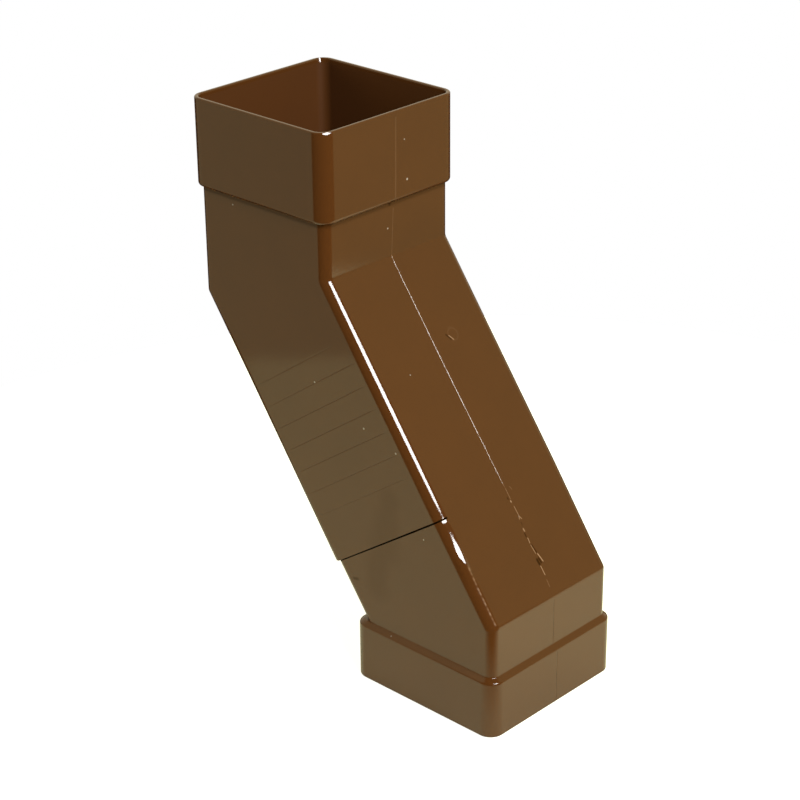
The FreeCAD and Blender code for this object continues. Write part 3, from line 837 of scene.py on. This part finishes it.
def brown_plastic(finish):
    """Moulded gloss plastic: a slightly mottled brown, a faint unevenness in the gloss, a few
    specks of dust, dirt in a smudge, pale scuff with painted highlights, painted shade in the gaps,
    under the shoulder and inside, and a painted dark reflection in a faint cloud."""
    material = bpy.data.materials.new("brown_plastic_gloss")
    sheet = Finish(material)
    place = sheet.node("ShaderNodeTexCoord", {}, {}, "Object")
    brown = (*finish.brown, 1.0)
    dark = tuple(0.90 * c for c in finish.brown) + (1.0,)
    cloud = sheet.node("ShaderNodeTexNoise", {}, {"Vector": place, "Scale": 34.0, "Detail": 3.0})
    tone = sheet.mix((cloud * 1.6 - 0.3).clamped(), brown, dark)
    grain = sheet.node("ShaderNodeTexNoise", {}, {"Vector": place, "Scale": 1500.0, "Detail": 2.0})

    def spots(table):
        """1 inside any of the spots, falling to 0 a little beyond their radii."""
        total = 0.0
        for *centre, radius in table:
            away = sheet.vector("DISTANCE", place, tuple(c * MM for c in centre))
            total = total + (1.6 - away / (radius * MM)).clamped()
        return total.clamped()

    speck = spots(SPECKS)
    tone = sheet.mix(speck * DUST_COVER, tone, (*finish.dust, 1.0))
    grime_and_shade, scuff_and_glint, matte = (
        sheet.node("ShaderNodeAttribute", {"attribute_name": mark}, {}, "Fac") for mark in MARKS
    )
    tone = sheet.mix(scuff_and_glint.clamped(), tone, (*finish.scuff_and_glint, 1.0))
    gloss = finish.roughness + 0.05 * (cloud - 0.5) + 0.5 * speck + 0.3 * scuff_and_glint + 0.32 * matte
    gloss = gloss.clamped()
    relief = {"Strength": 0.05, "Distance": 0.0002, "Height": grain}
    normal = sheet.node("ShaderNodeBump", {}, relief)
    surface = {"Base Color": tone, "Roughness": gloss, "IOR": 1.54, "Normal": normal}
    shader = sheet.node("ShaderNodeBsdfPrincipled", {}, surface)
    dirt_and_shade = sheet.node("ShaderNodeBsdfDiffuse", {}, {"Color": (*finish.dirt_and_shade, 1.0)})
    # Painted shade, dirt and the painted dark reflection are mixed in as one dark matte colour.
    dim = grime_and_shade + INSIDE_PAINTED_SHADE * matte + SMUDGE_COVER * spots(SMUDGE) + DARK_REFLECTION_COVER * spots(DARK_REFLECTION)
    shader = sheet.node("ShaderNodeMixShader", {}, {0: dim.clamped(), 1: shader, 2: dirt_and_shade})
    sheet.node("ShaderNodeOutputMaterial", {}, {"Surface": shader})
    return material


def dress(piece, material, node):
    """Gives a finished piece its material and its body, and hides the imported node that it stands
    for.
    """
    piece.data.materials.append(material)
    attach(piece, "root")
    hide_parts(node)


def plastic():
    """The one plastic of both mouldings."""
    found = bpy.data.materials.get("brown_plastic_gloss")
    if found is None:
        found = brown_plastic(bpy.context.scene.downpipe_finish)
    return found


class DOWNPIPE_OT_upper(bpy.types.Operator):
    """Builds the upper moulding: top socket, neck, bend and sleeve."""

    bl_idname = "downpipe.upper"
    bl_label = "Upper moulding"

    def execute(self, context):
        piece = closed_skin("upper_moulding", upper_grid(Values(context.scene.downpipe_sizes)))
        dress(piece, plastic(), "upper_bend")
        return {"FINISHED"}


class DOWNPIPE_OT_lower(bpy.types.Operator):
    """Builds the lower moulding: spigot, leg, bend, neck and bottom socket."""

    bl_idname = "downpipe.lower"
    bl_label = "Lower moulding"

    def execute(self, context):
        piece = closed_skin("lower_moulding", lower_grid(Values(context.scene.downpipe_sizes)))
        dress(piece, plastic(), "lower_bend")
        return {"FINISHED"}


# The camera's angles in degrees, its distance and aim in metres, and its lens.
CAMERA_TURN = -46.321
CAMERA_RISE = 25.074
CAMERA_ROLL = -0.568
CAMERA_REACH = 1.011271
CAMERA_AIM = (-0.05225, -0.00013, 0.122851)
CAMERA_LENS = 98.931


def look():
    """The camera, turned about its aim by two angles and rolled by a third."""
    turn, rise, roll = (math.radians(x) for x in (CAMERA_TURN, CAMERA_RISE, CAMERA_ROLL))
    flat = math.cos(rise)
    back = np.array([flat * math.cos(turn), flat * math.sin(turn), math.sin(rise)])
    right = np.cross(-back, [0, 0, 1])
    right /= np.linalg.norm(right)
    up = np.cross(right, -back)
    data = bpy.data.cameras.new("camera")
    data.lens, data.sensor_width = CAMERA_LENS, 36.0
    data.clip_start, data.clip_end = 0.05, 20.0
    camera = bpy.data.objects.new("camera", data)
    sin, cos = math.sin(roll), math.cos(roll)
    place = np.array(CAMERA_AIM) + CAMERA_REACH * back
    whole = np.eye(4)
    whole[:3] = np.stack([cos * right + sin * up, cos * up - sin * right, back, place], 1)
    camera.matrix_world = Matrix(whole.tolist())
    bpy.context.scene.collection.objects.link(camera)
    bpy.context.scene.camera = camera


# The lamps: the point they face, and their ways from it, in metres, with their sizes.
LAMP_AIM = np.array([-0.05, 0.0, 0.13])
KEY_WAY, KEY_SIZE = np.array([0.7744, -0.1462, 0.6157]), (0.62, 0.305)
FILL_WAY, FILL_SIZE = np.array([-0.566, -0.806, 0.17]), (0.7, 0.5)


def area_lamp(name, way, size, power):
    """A soft oval lamp that faces the lamps' aim."""
    data = bpy.data.lights.new(name, "AREA")
    data.shape, data.energy = "ELLIPSE", power
    data.size, data.size_y = size
    lamp = bpy.data.objects.new(name, data)
    away = way / np.linalg.norm(way)
    side = np.cross([0, 0, 1], away)
    side /= np.linalg.norm(side)
    whole = np.eye(4)
    whole[:3] = np.stack([side, np.cross(away, side), away, LAMP_AIM + way], 1)
    lamp.matrix_world = Matrix(whole.tolist())
    bpy.context.scene.collection.objects.link(lamp)
    return lamp


def polar_sheet(name, radii, heights, count=96):
    """A round sheet: rings of points at given radii and heights, with a closed middle."""
    turn = np.linspace(0, 2 * np.pi, count, endpoint=False)
    r, z = np.asarray(radii, float)[:, None], np.asarray(heights, float)[:, None]
    points = np.stack([r * np.cos(turn), r * np.sin(turn), z + 0 * turn], -1).reshape(-1, 3)
    index = np.arange(len(radii) * count).reshape(len(radii), count)
    ahead = np.roll(index, -1, 1)
    faces = np.stack([index[:-1], index[1:], ahead[1:], ahead[:-1]], -1).reshape(-1, 4).tolist()
    faces.append(index[0].tolist())
    mesh = bpy.data.meshes.new(name)
    mesh.from_pydata(points.tolist(), [], faces)
    mesh.shade_smooth()
    sheet = bpy.data.objects.new(name, mesh)
    bpy.context.scene.collection.objects.link(sheet)
    return sheet


def seen(sheet, *kinds):
    """1 for the named kinds of rays, and 0 for other light."""
    paths = (sheet.node("ShaderNodeLightPath", {}, {}, kind) for kind in kinds)
    return sum(paths, 0.0).clamped()


# The ways to the right of the fitting and behind it, as the camera sees it.
SIDE = (0.69, 0.72, 0.0)
BEHIND = (-0.72, 0.69, 0.0)
BLACK = (0.0, 0.0, 0.0, 1.0)
WHITE = (1.0, 1.0, 1.0, 1.0)
PAPER = (0.85, 0.85, 0.85, 1.0)
FLOOR_RADII = (0.1, 0.25, 0.426)
FLOOR_DROP = 0.0003
ROOM_RADIUS = 3.0
ROOM_GAP = 0.02  # the angle left to the flat middle at the top and at the bottom


def pale_floor(stage):
    """The pale sheet: it scatters light, takes the shadow and shows white to the camera. In the
    gloss it shows as a painted reflection: a glowing strip that runs past the fitting from side to
    side, painted dark beyond."""
    material = bpy.data.materials.new("pale_floor")
    sheet = Finish(material)
    place = sheet.node("ShaderNodeTexCoord", {}, {}, "Object")
    across, depth = (sheet.vector("DOT_PRODUCT", place, way) for way in (SIDE, BEHIND))
    matte = sheet.node("ShaderNodeBsdfDiffuse", {}, {"Color": (*stage.floor, 1.0)})
    white = seen(sheet, "Is Camera Ray", "Is Transmission Ray")
    glow = sheet.mix(white, BLACK, PAPER)
    glow = sheet.node("ShaderNodeEmission", {}, {"Color": glow, "Strength": 1.0})
    gloss = seen(sheet, "Is Glossy Ray")
    # The sheen is a painted reflection, a glow seen by glossy rays only; it grows over 0.2 m from
    # the left to the right.
    lit = (across * 5.0 + 0.5).clamped() * 0.14 + 0.06
    sheen = sheet.mix(gloss * lit, BLACK, (*stage.sheen, 1.0))
    sheen = sheet.node("ShaderNodeEmission", {}, {"Color": sheen, "Strength": 1.0})
    both = sheet.node("ShaderNodeAddShader", {}, {0: matte, 1: glow})
    both = sheet.node("ShaderNodeAddShader", {}, {0: both, 1: sheen})
    dark = sheet.node("ShaderNodeBsdfDiffuse", {}, {"Color": (*stage.gloom, 1.0)})
    # In the gloss the strip starts to fade 0.07 m before and behind the fitting, and is painted
    # dark at 0.13 m.
    beyond = (depth.math("ABSOLUTE") * 16.0 - 1.1).clamped()
    both = sheet.node("ShaderNodeMixShader", {}, {0: gloss * beyond, 1: both, 2: dark})
    sheet.node("ShaderNodeOutputMaterial", {}, {"Surface": both})
    return material


def dim_room(stage):
    """The room beyond the sheet: pale beside the fitting, with a bright sheet behind it above the
    horizon, and dark below that sheet and on the camera's side."""
    material = bpy.data.materials.new("dim_room")
    sheet = Finish(material)
    place = sheet.node("ShaderNodeTexCoord", {}, {}, "Object")
    aim = sheet.node("ShaderNodeVectorMath", {"operation": "NORMALIZE"}, {0: place})
    across, level = (sheet.vector("DOT_PRODUCT", aim, way) for way in (SIDE, BEHIND))
    rise = sheet.node("ShaderNodeSeparateXYZ", {}, {"Vector": aim}, "Z")
    above = (rise * 8.0 + 0.5).clamped()
    pale = sheet.mix((across + 0.5).clamped(), (*stage.room, 1.0), (*stage.room_right, 1.0))
    tone = sheet.mix((level * 9.0 + 1.55).clamped(), (*stage.gloom, 1.0), pale)
    low = sheet.mix((level * 6.0 - 2.4).clamped(), tone, (*stage.gloom, 1.0))
    high = sheet.mix((level * 1.7 - 0.5).clamped(), tone, (*stage.backdrop, 1.0))
    tone = sheet.mix(above, low, high)
    glow = sheet.node("ShaderNodeEmission", {}, {"Color": tone, "Strength": 1.0})
    sheet.node("ShaderNodeOutputMaterial", {}, {"Surface": glow})
    return material


class DOWNPIPE_OT_stage(bpy.types.Operator):
    """Builds the floor, the room, the lamps and the camera."""

    bl_idname = "downpipe.stage"
    bl_label = "Stage"

    def execute(self, context):
        stage = context.scene.downpipe_stage
        floor = polar_sheet("floor", FLOOR_RADII, [-FLOOR_DROP] * len(FLOOR_RADII))
        floor.data.materials.append(pale_floor(stage))
        steep = np.pi / 2 - ROOM_GAP
        angle = np.linspace(steep, -steep, 60)
        room = polar_sheet("room", ROOM_RADIUS * np.cos(angle), ROOM_RADIUS * np.sin(angle))
        room.data.materials.append(dim_room(stage))
        room.visible_camera = False
        world = bpy.data.worlds.new("white")
        sheet = Finish(world)
        white = sheet.node("ShaderNodeBackground", {}, {"Color": WHITE, "Strength": 1.0})
        sheet.node("ShaderNodeOutputWorld", {}, {"Surface": white})
        context.scene.world = world
        area_lamp("key", KEY_WAY, KEY_SIZE, stage.key_power)
        fill = area_lamp("fill", FILL_WAY, FILL_SIZE, stage.fill_power)
        fill.visible_glossy = False
        look()
        context.scene.view_settings.view_transform = "Standard"
        return {"FINISHED"}


class DOWNPIPE_PT_panel(bpy.types.Panel):
    """Lists the pieces and their sizes and colours."""

    bl_idname = "DOWNPIPE_PT_panel"
    bl_label = "Square downpipe offset"
    bl_space_type = "VIEW_3D"
    bl_region_type = "UI"
    bl_category = "Downpipe"

    def draw(self, context):
        for operator in OPERATORS:
            self.layout.operator(operator.bl_idname)
        for group in GROUPS:
            holder = getattr(context.scene, group)
            for key in holder.__annotations__:
                self.layout.prop(holder, key)


OPERATORS = (DOWNPIPE_OT_upper, DOWNPIPE_OT_lower, DOWNPIPE_OT_stage)
GROUPS = {
    "downpipe_sizes": DownpipeSizes,
    "downpipe_finish": DownpipeFinish,
    "downpipe_stage": DownpipeStage,
}
CLASSES = (*GROUPS.values(), *OPERATORS, DOWNPIPE_PT_panel)


def register():
    """Adds the classes and the scene's groups of values."""
    for item in CLASSES:
        bpy.utils.register_class(item)
    for name, group in GROUPS.items():
        setattr(bpy.types.Scene, name, bpy.props.PointerProperty(type=group))


def unregister():
    """Takes them away again."""
    for name in GROUPS:
        delattr(bpy.types.Scene, name)
    for item in reversed(CLASSES):
        bpy.utils.unregister_class(item)


def main():
    """Builds everything."""
    register()
    bpy.ops.downpipe.upper()
    bpy.ops.downpipe.lower()
    bpy.ops.downpipe.stage()


if __name__ == "__main__":
    main()
